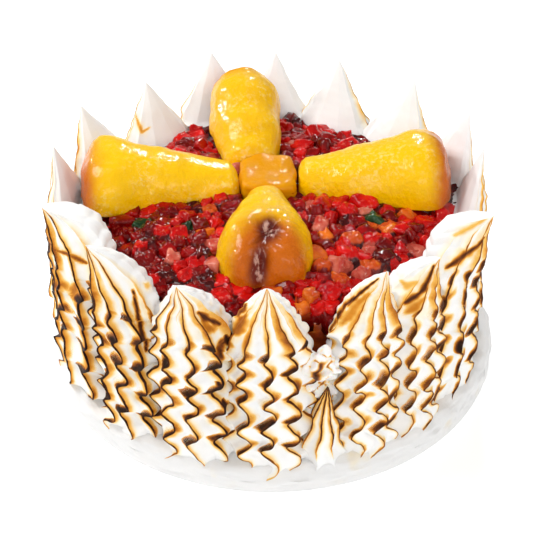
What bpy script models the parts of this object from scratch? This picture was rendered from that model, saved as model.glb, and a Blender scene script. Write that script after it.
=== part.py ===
"""A round torched meringue fruit cake, in metres, with +Z up and the origin in the middle of its flat bottom.

Sixteen piped meringue strokes stand side by side round a plain core and end in a crown of leaning tips.
Inside the crown, the core carries diced fruit in jelly, and four pear halves lie on it in a cross."""

import math
import random
from collections import namedtuple
from itertools import product

import bmesh
import bpy
import numpy as np
from mathutils import Matrix, Vector

# Driving dimensions
CAKE_RADIUS = 0.100
FOOT_HEIGHT = 0.010
CORE_RADIUS = 0.0697
CORE_HEIGHT = 0.0582
JELLY_RIM_TOP = 0.0645
GAP = 0.0003

# The meringue strokes
WALL_INNER_RADIUS = 0.0708
WALL_HEIGHTS = (0.010, 0.030, 0.064)
WALL_OUTER_RADII = (0.0984, 0.0990, 0.0965)
LEDGE_BOTTOM = 0.0645
LEDGE_TOP = 0.0665
SHOULDER_DROP = 0.030
SHOULDER_POWER_OUTSIDE = 0.92
SHOULDER_POWER_INSIDE = 0.62
FULLNESS = 0.45
LEAN_START = 0.030
LEAN_POWER = 1.6
PRESS = 0.0028
RIDGES = 10
RIDGE_DEPTH_OUTSIDE = 0.17
RIDGE_DEPTH_INSIDE = 0.05
CREST_LIMIT = math.radians(112)

# The zigzag of a stroke, measured down from its tip
WAVE_START = 0.027
WAVE_GROWTH_LENGTH = 0.050
WAVE_FIRST = 0.0012
WAVE_GROWTH = 0.0024
FIRST_PITCH = 0.0082
PITCH_GROWTH = 0.10
TURN_PHASE = 0.167

# start, end and tip are degrees round the cake, anticlockwise from +X. wall scales the outer wall's radius.
# fruit_radius is where the inner slope meets the fruit, and bulge is how full that slope is. skew says which
# way the zigzag leans, and ridge_turn, in degrees, turns the ridges.
Stroke = namedtuple("Stroke", "start end tip tip_radius tip_height wall fruit_radius bulge skew ridge_turn")
STROKES = (
    Stroke(341.0, 372.5, 364.0, 0.0880, 0.0940, 0.945, 0.0785, 1.0, 0.6, 6),
    Stroke(12.5, 34.0, 22.0, 0.0935, 0.0940, 0.965, 0.0800, 1.0, -0.6, 14),
    Stroke(34.0, 57.0, 45.0, 0.0925, 0.0945, 0.985, 0.0715, 1.0, 0.6, 0),
    Stroke(57.0, 79.5, 70.0, 0.0930, 0.0940, 1.0, 0.0712, 1.0, 0.5, 18),
    Stroke(79.5, 98.0, 89.0, 0.0955, 0.0940, 1.0, 0.0795, 1.0, -0.6, 8),
    Stroke(98.0, 119.5, 107.5, 0.0965, 0.0955, 1.0, 0.0805, 1.0, 0.6, 0),
    Stroke(119.5, 142.0, 131.0, 0.0885, 0.0930, 0.985, 0.0725, 1.0, 0.5, 12),
    Stroke(142.0, 164.0, 153.5, 0.0945, 0.0940, 1.0, 0.0770, 1.0, -0.6, 4),
    Stroke(164.0, 193.0, 175.0, 0.0915, 0.0935, 1.0, 0.0825, 1.0, 0.6, 16),
    Stroke(193.0, 222.0, 204.0, 0.0965, 0.0940, 1.0, 0.0712, 4.5, -0.6, 10),
    Stroke(222.0, 240.0, 223.5, 0.0930, 0.0940, 1.0, 0.0712, 2.4, -0.6, 16),
    Stroke(240.0, 260.0, 249.5, 0.0950, 0.0940, 1.0, 0.0712, 1.8, -0.6, 12),
    Stroke(260.0, 278.6, 269.0, 0.0900, 0.0940, 1.0, 0.0712, 1.5, 0.6, 0),
    Stroke(286.2, 301.5, 297.0, 0.0900, 0.0940, 1.0, 0.0712, 1.8, 0.6, 10),
    Stroke(301.5, 317.0, 310.0, 0.0945, 0.0940, 0.985, 0.0712, 2.4, 0.5, 4),
    Stroke(317.0, 341.0, 332.0, 0.0955, 0.0940, 0.965, 0.0712, 4.5, 0.6, 14),
)

# The low rosette piped into the gap between two strokes
ROSETTE_START = 278.9
ROSETTE_END = 286.1
ROSETTE_TOP = 0.050
ROSETTE_RADII = (0.0868, 0.0945)
ROSETTE_HALF_DEPTH = 0.0115
ROSETTE_HALF_WIDTH = 0.0057
ROSETTE_RIDGES = 7
ROSETTE_RIDGE_DEPTH = 0.22
ROSETTE_ROWS = 5

# The fruit dice
DIE_SIZE = (0.0072, 0.0094)
DIE_TILT = math.radians(24)
DIE_SPACING = 0.0087
DIE_RISE = (0.0006, 0.0022)
DIE_DEPTHS = (0.8, 1.15)
DIE_HEIGHTS = (0.8, 1.0)
DIE_CLEARANCE = 0.0009
DIE_OUTER_LIMIT = 0.0702
DIE_TRIES = 5000
MOST_DICE = 118
SEED = 11

# The bed of jelly: radii and heights from its rim to the flat middle that carries the pears
BED_RADII = (0.0697, 0.0620, 0.0500)
BED_HEIGHTS = (JELLY_RIM_TOP, 0.0680, 0.0697)

# The pear halves lie with the flat side down. Widths and heights follow the fruit from neck to round end.
PEAR_STATIONS = (0.0, 0.12, 0.28, 0.45, 0.62, 0.76, 0.87, 0.95, 0.99)
LONG_HALF_WIDTHS = (0.0104, 0.0118, 0.0137, 0.0158, 0.0183, 0.0213, 0.0208, 0.0150, 0.0075)
LONG_HEIGHTS = (0.0106, 0.0120, 0.0139, 0.0158, 0.0178, 0.0196, 0.0188, 0.0140, 0.0075)
OVAL_HALF_WIDTHS = (0.0120, 0.0145, 0.0168, 0.0182, 0.0190, 0.0186, 0.0165, 0.0125, 0.0065)
OVAL_HEIGHTS = (0.0106, 0.0125, 0.0150, 0.0172, 0.0185, 0.0185, 0.0165, 0.0125, 0.0065)
ROUND_HALF_WIDTHS = (0.0088, 0.0096, 0.0140, 0.0174, 0.0191, 0.0187, 0.0155, 0.0110, 0.0058)
ROUND_HEIGHTS = (0.0105, 0.0125, 0.0152, 0.0178, 0.0192, 0.0190, 0.0162, 0.0118, 0.0060)
PEAR_ARC_STEPS = 9
PEAR_SEAT = BED_HEIGHTS[-1] + GAP

# neck and end are points in plan. lift is how far the underside rises to the round end. scale is that of
# the sections.
Pear = namedtuple("Pear", "name neck end lift scale half_widths heights")
PEARS = (
    Pear("pear_left", (-0.0148, 0.0126), (-0.0825, 0.0090), 0.0020, 1.0, LONG_HALF_WIDTHS, LONG_HEIGHTS),
    Pear("pear_right", (0.0112, 0.0143), (0.0768, 0.0152), 0.0020, 1.06, LONG_HALF_WIDTHS, LONG_HEIGHTS),
    Pear("pear_back", (-0.0090, 0.0262), (-0.0150, 0.0850), 0.0110, 0.88, OVAL_HALF_WIDTHS, OVAL_HEIGHTS),
    Pear("pear_front", (-0.0025, -0.0010), (-0.0030, -0.0600), 0.0, 1.0, ROUND_HALF_WIDTHS, ROUND_HEIGHTS),
)
CALYX_RADII = (0.0062, 0.0105, 0.0080)
CALYX_CENTRE = (-0.0015, -0.0520, 0.0868)
CALYX_LEAN = math.radians(30)

CENTRE_LOW = (-0.0142, -0.0004)
CENTRE_HIGH = (0.0104, 0.0256)
CENTRE_HEIGHT = 0.0110
CENTRE_SADDLE = 0.0022
CENTRE_BEVEL = 0.0030

RING_STEPS = 40
SHARP_ANGLE = math.radians(50)

MERINGUE = ("meringue", (0.93, 0.91, 0.88), 0.45)
CORE = ("fruit_core", (0.45, 0.16, 0.04), 0.40)
FRUIT = ("jellied_fruit", (0.42, 0.02, 0.02), 0.18)
PEAR = ("poached_pear", (0.90, 0.55, 0.01), 0.22)
CENTRE = ("glazed_pear_centre", (0.82, 0.40, 0.01), 0.18)


def clear_scene():
    for old in list(bpy.data.objects):
        bpy.data.objects.remove(old, do_unlink=True)


def new_collection(name, hidden=False):
    collection = bpy.data.collections.new(name)
    collection.hide_render = hidden
    bpy.context.scene.collection.children.link(collection)
    return collection


def surface_material(name, colour, roughness):
    material = bpy.data.materials.get(name) or bpy.data.materials.new(name)
    material.use_nodes = True
    shader = material.node_tree.nodes["Principled BSDF"]
    shader.inputs["Base Color"].default_value = (*colour, 1.0)
    shader.inputs["Roughness"].default_value = roughness
    shader.inputs["Metallic"].default_value = 0.0
    return material


def object_from_bmesh(name, shape, collection, finish=None):
    bmesh.ops.recalc_face_normals(shape, faces=shape.faces)
    mesh = bpy.data.meshes.new(name)
    shape.to_mesh(mesh)
    shape.free()
    mesh.shade_smooth()
    mesh.set_sharp_from_angle(angle=SHARP_ANGLE)
    made = bpy.data.objects.new(name, mesh)
    collection.objects.link(made)
    if finish:
        mesh.materials.append(surface_material(*finish))
    return made


def loft(rows, tip=None):
    """A closed skin through rings of equally many points, with a flat cap or a tip point at its far end."""
    shape = bmesh.new()
    rings = [[shape.verts.new(point) for point in row] for row in rows]
    count = len(rings[0])
    for lower, upper in zip(rings, rings[1:]):
        for i in range(count):
            j = (i + 1) % count
            shape.faces.new((lower[i], lower[j], upper[j], upper[i]))
    shape.faces.new(list(reversed(rings[0])))
    if tip is None:
        shape.faces.new(rings[-1])
    else:
        peak = shape.verts.new(tip)
        for i in range(count):
            shape.faces.new((rings[-1][i], rings[-1][(i + 1) % count], peak))
    bmesh.ops.triangulate(shape, faces=shape.faces)
    return shape


def wave_cycle(drop):
    """How many zigzags lie above a point this far below the tip."""
    pitch = FIRST_PITCH + PITCH_GROWTH * (drop - WAVE_START)
    return np.log(pitch / FIRST_PITCH) / PITCH_GROWTH


def wave_drop(cycle):
    """How far below the tip the zigzag has run through this many cycles."""
    pitch = FIRST_PITCH * np.exp(PITCH_GROWTH * cycle)
    return WAVE_START + (pitch - FIRST_PITCH) / PITCH_GROWTH


def wave_shift(stroke, heights):
    """The sideways shift of a stroke at each height. It starts below the tip and widens downwards."""
    drop = stroke.tip_height - heights
    below = np.maximum(drop, WAVE_START)
    grown = np.clip((below - WAVE_START) / WAVE_GROWTH_LENGTH, 0, 1)
    reach = np.where(drop > WAVE_START, WAVE_FIRST + WAVE_GROWTH * grown, 0)
    phase = 2 * np.pi * wave_cycle(below)
    return reach * np.sin(phase + stroke.skew * np.sin(phase))


def ridge_scale(stroke, angles):
    """The star section's radius at each angle, as a share of the full one: sharp crests, round valleys."""
    place = (angles - math.radians(stroke.ridge_turn)) * RIDGES / (2 * np.pi)
    off_crest = 2 * np.abs(place - np.round(place))
    facing_out = 0.5 + 0.5 * np.cos(angles)
    depth = RIDGE_DEPTH_INSIDE + (RIDGE_DEPTH_OUTSIDE - RIDGE_DEPTH_INSIDE) * facing_out
    return 1 - depth * off_crest**0.8


def stroke_points(stroke, heights, angles):
    """World points of a stroke, one row for each height and one column for each angle round its section."""
    z = np.asarray(heights)[:, None]
    turn = np.asarray(angles)[None, :]
    middle = math.radians((stroke.start + stroke.end) / 2)
    to_tip = math.radians(stroke.tip) - middle
    outer_heights = (*WALL_HEIGHTS, stroke.tip_height)
    outer_radii = [radius * stroke.wall for radius in WALL_OUTER_RADII]
    outer = np.interp(z, outer_heights, (*outer_radii, stroke.tip_radius))
    inner_wall = np.interp(z, (LEDGE_BOTTOM, LEDGE_TOP), (WALL_INNER_RADIUS, stroke.fruit_radius))
    up_slope = np.clip((z - LEDGE_TOP) / (stroke.tip_height - LEDGE_TOP), 0, 1) ** stroke.bulge
    inner = inner_wall + (stroke.tip_radius - stroke.fruit_radius) * up_slope
    shoulder = stroke.tip_height - SHOULDER_DROP
    above = np.clip((z - shoulder) / SHOULDER_DROP, 0, 1)
    sector = math.radians(stroke.end - stroke.start)
    facing_in = 0.5 - 0.5 * np.cos(turn)
    power_inside = SHOULDER_POWER_INSIDE / stroke.bulge**FULLNESS
    power = SHOULDER_POWER_OUTSIDE + (power_inside - SHOULDER_POWER_OUTSIDE) * facing_in
    half_width = (sector / 2 * (outer + inner) / 2 + PRESS) * (1 - above) ** power
    lean = np.clip((z - LEAN_START) / (stroke.tip_height - LEAN_START), 0, 1) ** LEAN_POWER
    sideways = stroke.tip_radius * math.sin(to_tip) * lean + wave_shift(stroke, z)
    star = ridge_scale(stroke, turn)
    x = (outer + inner) / 2 + (outer - inner) / 2 * star * np.cos(turn)
    y = sideways + half_width * star * np.sin(turn)
    east = x * math.cos(middle) - y * math.sin(middle)
    north = x * math.sin(middle) + y * math.cos(middle)
    return np.stack([east, north, np.broadcast_to(z, x.shape)], axis=-1)


def keep_between(points, start, end, inner_radius):
    """Moves points that stray over a neighbour back to the plane between the two, and out of the core."""
    points = np.array(points)
    for degrees, side in ((start, 1), (end, -1)):
        edge = math.radians(degrees)
        away = np.array([-math.sin(edge), math.cos(edge)]) * side
        short = np.maximum(GAP - points[..., :2] @ away, 0)
        points[..., :2] += short[..., None] * away
    reach = np.linalg.norm(points[..., :2], axis=-1)
    points[..., :2] *= (np.maximum(reach, inner_radius) / reach)[..., None]
    return points


def stroke_heights(stroke):
    """Heights of the rings: one at each turn of the zigzag, and a few up the tip."""
    bottom = FOOT_HEIGHT + GAP
    fixed = [bottom, LEDGE_BOTTOM, LEDGE_TOP]
    fixed += [stroke.tip_height - drop for drop in (0.0195, 0.0115, 0.0045)]
    drops = [wave_drop(cycle + side * TURN_PHASE) for cycle in range(8) for side in (-1, 1)]
    turns = [stroke.tip_height - drop for drop in drops if drop > WAVE_START]
    clear = [z for z in turns if z > bottom and min(abs(z - other) for other in fixed) > 0.0016]
    return sorted(fixed + clear)


def stroke_angles(stroke):
    """Angles round the section: each crest, and the valleys between those that face out."""
    step = 2 * math.pi / RIDGES
    crests = [math.radians(stroke.ridge_turn) + step * k for k in range(-RIDGES // 2, RIDGES // 2)]
    crests = [math.remainder(angle, 2 * math.pi) for angle in crests]
    valleys = [angle + step / 2 for angle in crests if abs(angle + step / 2) < CREST_LIMIT]
    return sorted(crests + valleys)


def build_stroke(number, stroke, collection):
    rows = stroke_points(stroke, stroke_heights(stroke), stroke_angles(stroke))
    rows = keep_between(rows, stroke.start, stroke.end, WALL_INNER_RADIUS)
    tip_angle = math.radians(stroke.tip)
    across = stroke.tip_radius
    tip = (across * math.cos(tip_angle), across * math.sin(tip_angle), stroke.tip_height)
    return object_from_bmesh(f"petal_{number:02d}", loft(rows, tip), collection, MERINGUE)


def build_rosette(collection):
    """A small star that stands on the foot, its straight ridges running up to one low tip."""
    middle = math.radians((ROSETTE_START + ROSETTE_END) / 2)
    columns = 2 * ROSETTE_RIDGES
    rows = []
    for row in range(ROSETTE_ROWS):
        share = row / ROSETTE_ROWS
        z = FOOT_HEIGHT + GAP + (ROSETTE_TOP - FOOT_HEIGHT - GAP) * share
        swell = (1 - share) ** 0.75
        centre = ROSETTE_RADII[0] + (ROSETTE_RADII[1] - ROSETTE_RADII[0]) * share
        ring = []
        for column in range(columns):
            turn = math.pi * column / ROSETTE_RIDGES
            star = 1 - ROSETTE_RIDGE_DEPTH * (column % 2)
            x = centre + ROSETTE_HALF_DEPTH * swell * star * math.cos(turn)
            y = ROSETTE_HALF_WIDTH * swell * star * math.sin(turn)
            ring.append((x, y, z))
        rows.append(ring)
    tip = (ROSETTE_RADII[1], 0, ROSETTE_TOP)
    shape = loft(rows, tip)
    shape.transform(Matrix.Rotation(middle, 4, "Z"))
    return object_from_bmesh("rosette_small", shape, collection, MERINGUE)


def build_foot(collection):
    """The smooth band of meringue under the strokes: a turned ring, closed all the way round."""
    core_side = CORE_RADIUS + 2 * GAP
    profile = [
        (core_side, FOOT_HEIGHT),
        (CAKE_RADIUS - 0.0022, FOOT_HEIGHT),
        (CAKE_RADIUS - 0.0007, 0.0075),
        (CAKE_RADIUS, 0.0035),
        (CAKE_RADIUS, 0.0),
        (core_side, 0.0),
    ]
    mesh = bpy.data.meshes.new("meringue_foot")
    edges = [(i, (i + 1) % len(profile)) for i in range(len(profile))]
    mesh.from_pydata([(r, 0, z) for r, z in profile], edges, [])
    foot = bpy.data.objects.new("meringue_foot", mesh)
    collection.objects.link(foot)
    mesh.materials.append(surface_material(*MERINGUE))
    screw = foot.modifiers.new("turn", "SCREW")
    screw.steps = RING_STEPS
    screw.render_steps = RING_STEPS
    screw.use_merge_vertices = True
    screw.merge_threshold = 0.00005
    return foot


def disc(name, radius, bottom, top, collection, finish):
    shape = bmesh.new()
    middle = Matrix.Translation((0, 0, (bottom + top) / 2))
    bmesh.ops.create_cone(
        shape, cap_ends=True, segments=RING_STEPS, radius1=radius, radius2=radius,
        depth=top - bottom, matrix=middle,
    )
    return object_from_bmesh(name, shape, collection, finish)


def pear_axes(pear):
    """The pear's neck point, the unit vectors along it and across it, and its length."""
    neck = Vector((*pear.neck, PEAR_SEAT))
    end = Vector((*pear.end, PEAR_SEAT + pear.lift))
    along = (end - neck).normalized()
    across = Vector((0, 0, 1)).cross(along).normalized()
    return neck, along, across, (end - neck).length


def build_pear(pear, collection, finish):
    """A pear half: upright arched sections over a flat cut side, from the neck to the round end."""
    neck, along, across, length = pear_axes(pear)
    up = Vector((0, 0, 1))
    rows = []
    for share, half_width, height in zip(PEAR_STATIONS, pear.half_widths, pear.heights):
        centre = neck + along * (share * length)
        row = []
        for step in range(PEAR_ARC_STEPS):
            turn = math.pi * step / (PEAR_ARC_STEPS - 1)
            sideways = math.copysign(abs(math.cos(turn)) ** 0.9, math.cos(turn)) * half_width * pear.scale
            rise = math.sin(turn) ** 0.95 * height * pear.scale
            row.append(centre + across * sideways + up * rise)
        rows.append(row)
    return object_from_bmesh(pear.name, loft(rows), collection, finish)


def pear_footprint(pear, x, y):
    """How far a point in plan lies outside a pear. It is negative inside."""
    neck, along, across, length = pear_axes(pear)
    offset = Vector((x - neck.x, y - neck.y, 0))
    share = offset.dot(along) / length
    half_width = np.interp(share, PEAR_STATIONS, pear.half_widths) * pear.scale
    beside = abs(offset.dot(across)) - half_width
    beyond = max(-share, share - 1) * length
    return max(beside, beyond)


def cut_calyx(pear, cutters):
    """The hollow in the round end of the pear that faces the front."""
    shape = bmesh.new()
    leaning = Matrix.Translation(CALYX_CENTRE) @ Matrix.Rotation(CALYX_LEAN, 4, "X")
    placed = leaning @ Matrix.Diagonal((*CALYX_RADII, 1))
    bmesh.ops.create_uvsphere(shape, u_segments=10, v_segments=7, radius=1, matrix=placed)
    cutter = object_from_bmesh("calyx_cutter", shape, cutters)
    cutter.hide_render = True
    cutter.display_type = "WIRE"
    cut = pear.modifiers.new("calyx", "BOOLEAN")
    cut.operation = "DIFFERENCE"
    cut.object = cutter


def build_centre(collection):
    """The block of pear in the middle of the cross: a soft box with a sagging top."""
    shape = bmesh.new()
    width = CENTRE_HIGH[0] - CENTRE_LOW[0]
    depth = CENTRE_HIGH[1] - CENTRE_LOW[1]
    middle = ((CENTRE_LOW[0] + CENTRE_HIGH[0]) / 2, (CENTRE_LOW[1] + CENTRE_HIGH[1]) / 2)
    halfway = PEAR_SEAT + CENTRE_HEIGHT / 2
    place = Matrix.Translation((*middle, halfway)) @ Matrix.Diagonal((width, depth, CENTRE_HEIGHT, 1))
    bmesh.ops.create_cube(shape, size=1, matrix=place)
    bottom = [edge for edge in shape.edges if max(vert.co.z for vert in edge.verts) < halfway]
    rounded = [edge for edge in shape.edges if edge not in bottom]
    bmesh.ops.bevel(
        shape, geom=rounded, offset=CENTRE_BEVEL, segments=2, profile=0.5, affect="EDGES", clamp_overlap=True
    )
    long_edges = [edge for edge in shape.edges if edge.calc_length() > width / 2]
    bmesh.ops.subdivide_edges(shape, edges=long_edges, cuts=1)
    for vert in shape.verts:
        if vert.co.z > halfway:
            from_middle = abs(vert.co.y - middle[1]) / (depth / 2)
            vert.co.z -= CENTRE_SADDLE * (1 - from_middle**2)
    return object_from_bmesh("pear_centre", shape, collection, CENTRE)


def crosses_centre(x, y):
    inside_x = CENTRE_LOW[0] - DIE_CLEARANCE < x < CENTRE_HIGH[0] + DIE_CLEARANCE
    inside_y = CENTRE_LOW[1] - DIE_CLEARANCE < y < CENTRE_HIGH[1] + DIE_CLEARANCE
    return inside_x and inside_y


def random_die(chance):
    """A place on the jelly, and the matrix that turns a unit cube into a tipped, uneven die there."""
    reach = DIE_OUTER_LIMIT * math.sqrt(chance.random())
    around = chance.uniform(0, 2 * math.pi)
    spot = (reach * math.cos(around), reach * math.sin(around))
    size = chance.uniform(*DIE_SIZE)
    bed = float(np.interp(-reach, [-radius for radius in BED_RADII], BED_HEIGHTS))
    place = Matrix.Translation((*spot, bed + chance.uniform(*DIE_RISE)))
    spin = Matrix.Rotation(chance.uniform(0, math.pi), 4, "Z")
    tip_over = Matrix.Rotation(chance.uniform(-DIE_TILT, DIE_TILT), 4, "X")
    sides = (size, size * chance.uniform(*DIE_DEPTHS), size * chance.uniform(*DIE_HEIGHTS), 1)
    return spot, place @ spin @ tip_over @ Matrix.Diagonal(sides)


def die_is_clear(matrix):
    """Whether each corner of the die is inside the crown and clear of the pears."""
    for corner in product((-0.5, 0.5), repeat=3):
        x, y, _ = matrix @ Vector(corner)
        if math.hypot(x, y) > DIE_OUTER_LIMIT or crosses_centre(x, y):
            return False
        if any(pear_footprint(pear, x, y) < DIE_CLEARANCE for pear in PEARS):
            return False
    return True


def dice_matrices():
    """The dice that show, spread evenly over the jelly and clear of the pears and the meringue."""
    chance = random.Random(SEED)
    spots, matrices = [], []
    for _ in range(DIE_TRIES):
        if len(matrices) == MOST_DICE:
            break
        spot, matrix = random_die(chance)
        if all(math.dist(spot, other) > DIE_SPACING for other in spots) and die_is_clear(matrix):
            spots.append(spot)
            matrices.append(matrix)
    return matrices


def build_bed(collection):
    """The jelly under the dice: a disc with a top that rises to a flat middle."""
    rows = []
    for radius, z in ((CORE_RADIUS, CORE_HEIGHT + GAP), *zip(BED_RADII, BED_HEIGHTS)):
        turns = [2 * math.pi * step / RING_STEPS for step in range(RING_STEPS)]
        rows.append([(radius * math.cos(turn), radius * math.sin(turn), z) for turn in turns])
    return object_from_bmesh("fruit_topping", loft(rows), collection, FRUIT)


def build_fruit(collection, pieces):
    """Diced fruit, fused into the jelly that holds it."""
    fruit = build_bed(collection)
    for matrix in dice_matrices():
        shape = bmesh.new()
        bmesh.ops.create_cube(shape, size=1, matrix=matrix)
        object_from_bmesh("die", shape, pieces)
    union = fruit.modifiers.new("fuse", "BOOLEAN")
    union.operation = "UNION"
    union.operand_type = "COLLECTION"
    union.collection = pieces
    union.solver = "MANIFOLD"
    bpy.context.view_layer.update()
    evaluated = fruit.evaluated_get(bpy.context.evaluated_depsgraph_get())
    fused = bpy.data.meshes.new_from_object(evaluated)
    fruit.modifiers.clear()
    fruit.data = fused
    fused.materials.clear()
    fused.materials.append(surface_material(*FRUIT))
    for piece in list(pieces.objects):
        bpy.data.objects.remove(piece, do_unlink=True)
    bpy.data.collections.remove(pieces)
    return fruit


def main():
    clear_scene()
    cake = new_collection("meringue_fruit_cake")
    cutters = new_collection("cutters", hidden=True)
    disc("cake_core", CORE_RADIUS, 0, CORE_HEIGHT, cake, CORE)
    build_foot(cake)
    for number, stroke in enumerate(STROKES, 1):
        build_stroke(number, stroke, cake)
    build_rosette(cake)
    build_fruit(cake, new_collection("dice"))
    for pear in PEARS:
        made = build_pear(pear, cake, PEAR)
        if pear.name == "pear_front":
            cut_calyx(made, cutters)
    build_centre(cake)


main()
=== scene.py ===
"""The look of the torched meringue fruit cake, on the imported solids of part.py. Lengths are in metres."""

import math
import random
from collections import namedtuple

import bmesh
import bpy
import numpy as np
from mathutils import Matrix, Vector


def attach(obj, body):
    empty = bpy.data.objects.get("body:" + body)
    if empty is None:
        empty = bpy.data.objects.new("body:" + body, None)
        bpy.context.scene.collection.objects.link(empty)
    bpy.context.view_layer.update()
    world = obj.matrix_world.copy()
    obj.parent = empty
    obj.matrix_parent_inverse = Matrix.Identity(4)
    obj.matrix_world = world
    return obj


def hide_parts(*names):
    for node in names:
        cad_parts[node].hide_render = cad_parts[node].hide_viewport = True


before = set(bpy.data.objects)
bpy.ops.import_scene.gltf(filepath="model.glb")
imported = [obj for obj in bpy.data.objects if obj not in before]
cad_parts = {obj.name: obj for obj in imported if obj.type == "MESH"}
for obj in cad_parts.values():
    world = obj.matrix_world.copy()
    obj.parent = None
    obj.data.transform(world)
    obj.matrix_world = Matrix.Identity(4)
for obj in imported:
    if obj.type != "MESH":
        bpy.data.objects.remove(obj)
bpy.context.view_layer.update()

# The fruit bed and the core, as in the solids
CORE_RADIUS = 0.0697
CORE_TOP = 0.0600
BED_RADII = (0.0697, 0.0620, 0.0500)
BED_HEIGHTS = (0.0645, 0.0680, 0.0697)
PEAR_SEAT = 0.0700
FOOT_RADIUS = 0.0999
# Radius and height along the section of the foot band
FOOT_PROFILE = ((0.0690, 0.0), (0.0990, 0.0), (0.0996, 0.0012), (0.0997, 0.0040), (0.0992, 0.0068),
                (0.0982, 0.0090), (0.0965, 0.0104), (0.0930, 0.0112), (0.0690, 0.0112))
TALLEST = 0.0953
# The height at which the fruit ends on the inner side of the strokes
FRUIT_TOP = 0.0665

# The strokes, as in the solids
INNER_RADIUS = 0.0690
WALL_HEIGHTS = (0.010, 0.030, 0.064)
WALL_OUTER_RADII = (0.0984, 0.0990, 0.0965)
# How far below its tip a stroke starts to narrow, and the height from which it leans to its tip
SHOULDER_DROP = 0.030
LEAN_START = 0.030
# The zigzag: the height of the first one, how fast they grow, and the share of its run to the right
FIRST_PITCH = 0.0090
PITCH_GROWTH = 0.10
LONG_RUN = 0.62
RIDGES = 10
# Where the columns of points lie between one crest and the next
COLUMN_OFFSETS = (0, 0.05, 0.13, 0.25, 0.38, 0.5, 0.62, 0.75, 0.87, 0.95)
STROKE_START = 0.004
WALL_ROWS = 126
SHOULDER_ROWS = 60
# How far up towards the tip the last ring lies
LAST_RING = 0.985

# start, end and tip are directions in degrees. bulge is 1 on the back strokes, and more where the inner side
# is fuller. left and right are how large the scorched patches beside the bends are. top is how dark the bands
# beside the straight lines under the tip are: below 0 on their left, above 0 on their right. line is the
# weight of the crest lines. first_bend is how far below the tip the zigzag first turns back from the left.
Stroke = namedtuple("Stroke", (
    "start", "end", "tip", "tip_radius", "tip_height", "wall", "fruit_radius", "bulge", "skew", "ridge_turn",
    "left", "right", "top", "line", "first_bend"))
STROKES = (
    Stroke(341.0, 372.5, 364.0, 0.0880, 0.0940, 0.945, 0.0785, 1.0, 0.4, 6, 0.8, 0.7, -0.7, 0.85, 0.0300),
    Stroke(12.5, 34.0, 22.0, 0.0935, 0.0940, 0.965, 0.0800, 1.0, -0.4, 14, 0.8, 0.6, 0.4, 0.8, 0.0310),
    Stroke(34.0, 57.0, 45.0, 0.0925, 0.0945, 0.985, 0.0715, 1.0, 0.4, 0, 0.9, 0.6, -0.5, 0.85, 0.0290),
    Stroke(57.0, 79.5, 70.0, 0.0930, 0.0940, 1.0, 0.0712, 1.0, 0.3, 18, 0.8, 0.7, -0.7, 0.9, 0.0300),
    Stroke(79.5, 98.0, 89.0, 0.0955, 0.0940, 1.0, 0.0795, 1.0, -0.4, 8, 1.1, 0.6, 0.6, 1.0, 0.0310),
    Stroke(98.0, 119.5, 107.5, 0.0965, 0.0955, 1.0, 0.0805, 1.0, 0.4, 0, 1.0, 0.7, -0.8, 0.95, 0.0290),
    Stroke(119.5, 142.0, 131.0, 0.0885, 0.0930, 0.985, 0.0725, 1.0, 0.3, 12, 0.8, 0.7, -0.6, 0.85, 0.0310),
    Stroke(142.0, 164.0, 153.5, 0.0945, 0.0940, 1.0, 0.0770, 1.0, -0.4, 4, 1.0, 0.6, 0.6, 0.9, 0.0300),
    Stroke(164.0, 193.0, 175.0, 0.0915, 0.0935, 1.0, 0.0825, 1.0, 0.4, 16, 0.9, 0.7, -0.6, 0.9, 0.0290),
    Stroke(193.0, 222.0, 204.0, 0.0965, 0.0940, 1.0, 0.0712, 4.5, 0.4, 10, 1.9, 1.4, 0.9, 1.40, 0.0280),
    Stroke(222.0, 240.0, 223.5, 0.0930, 0.0940, 1.0, 0.0712, 2.4, 0.4, 16, 1.4, 0.9, 0.7, 1.20, 0.0285),
    Stroke(240.0, 260.0, 249.5, 0.0950, 0.0940, 1.0, 0.0712, 1.8, 0.35, 12, 1.15, 0.66, -0.9, 1.05, 0.0290),
    Stroke(260.0, 278.6, 269.0, 0.0900, 0.0940, 1.0, 0.0712, 1.5, 0.25, 0, 1.05, 0.70, -0.8, 0.94, 0.0310),
    Stroke(286.2, 301.5, 297.0, 0.0900, 0.0940, 1.0, 0.0712, 1.8, 0.35, 10, 0.95, 0.90, -0.7, 0.80, 0.0295),
    Stroke(301.5, 317.0, 310.0, 0.0945, 0.0940, 0.985, 0.0712, 2.4, 0.3, 4, 0.65, 0.95, -0.6, 0.76, 0.0270),
    Stroke(317.0, 341.0, 332.0, 0.0955, 0.0940, 0.965, 0.0712, 4.5, 0.35, 14, 1.00, 1.20, -0.6, 0.88, 0.0250),
)

# The small rosette: its direction, its heights, the radius of its tip and how far its foot stands inside that
ROSETTE_MIDDLE = 282.5
ROSETTE_BASE = 0.006
ROSETTE_TIP = 0.0500
ROSETTE_TIP_RADIUS = 0.0945
ROSETTE_LEAN = 0.0079
ROSETTE_HALF_SIZE = (0.0120, 0.0112)
ROSETTE_RIDGES = 8
ROSETTE_ROWS = 60
# From one crest to the next, at the foot
ROSETTE_GAP = 0.0080

# The torn bit of meringue over the rosette: its direction, its middle and its half sizes
TORN_DIRECTION = 281.8
TORN_RADIUS = 0.0893
TORN_HEIGHT = 0.0430
TORN_HALF_SIZE = (0.0036, 0.0078, 0.0200)

# The photo's camera: how steeply it looks down, the point that it looks at, and how far it stands from that.
# The photo's size and its focal length are in pixels.
CAMERA_PITCH = math.radians(37)
CAMERA_TARGET = np.array((0.0012, 0, 0.0322))
CAMERA_DISTANCE = 0.5
PHOTO_SIZE = (550, 549)
FOCAL_PIXELS = 1123
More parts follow.
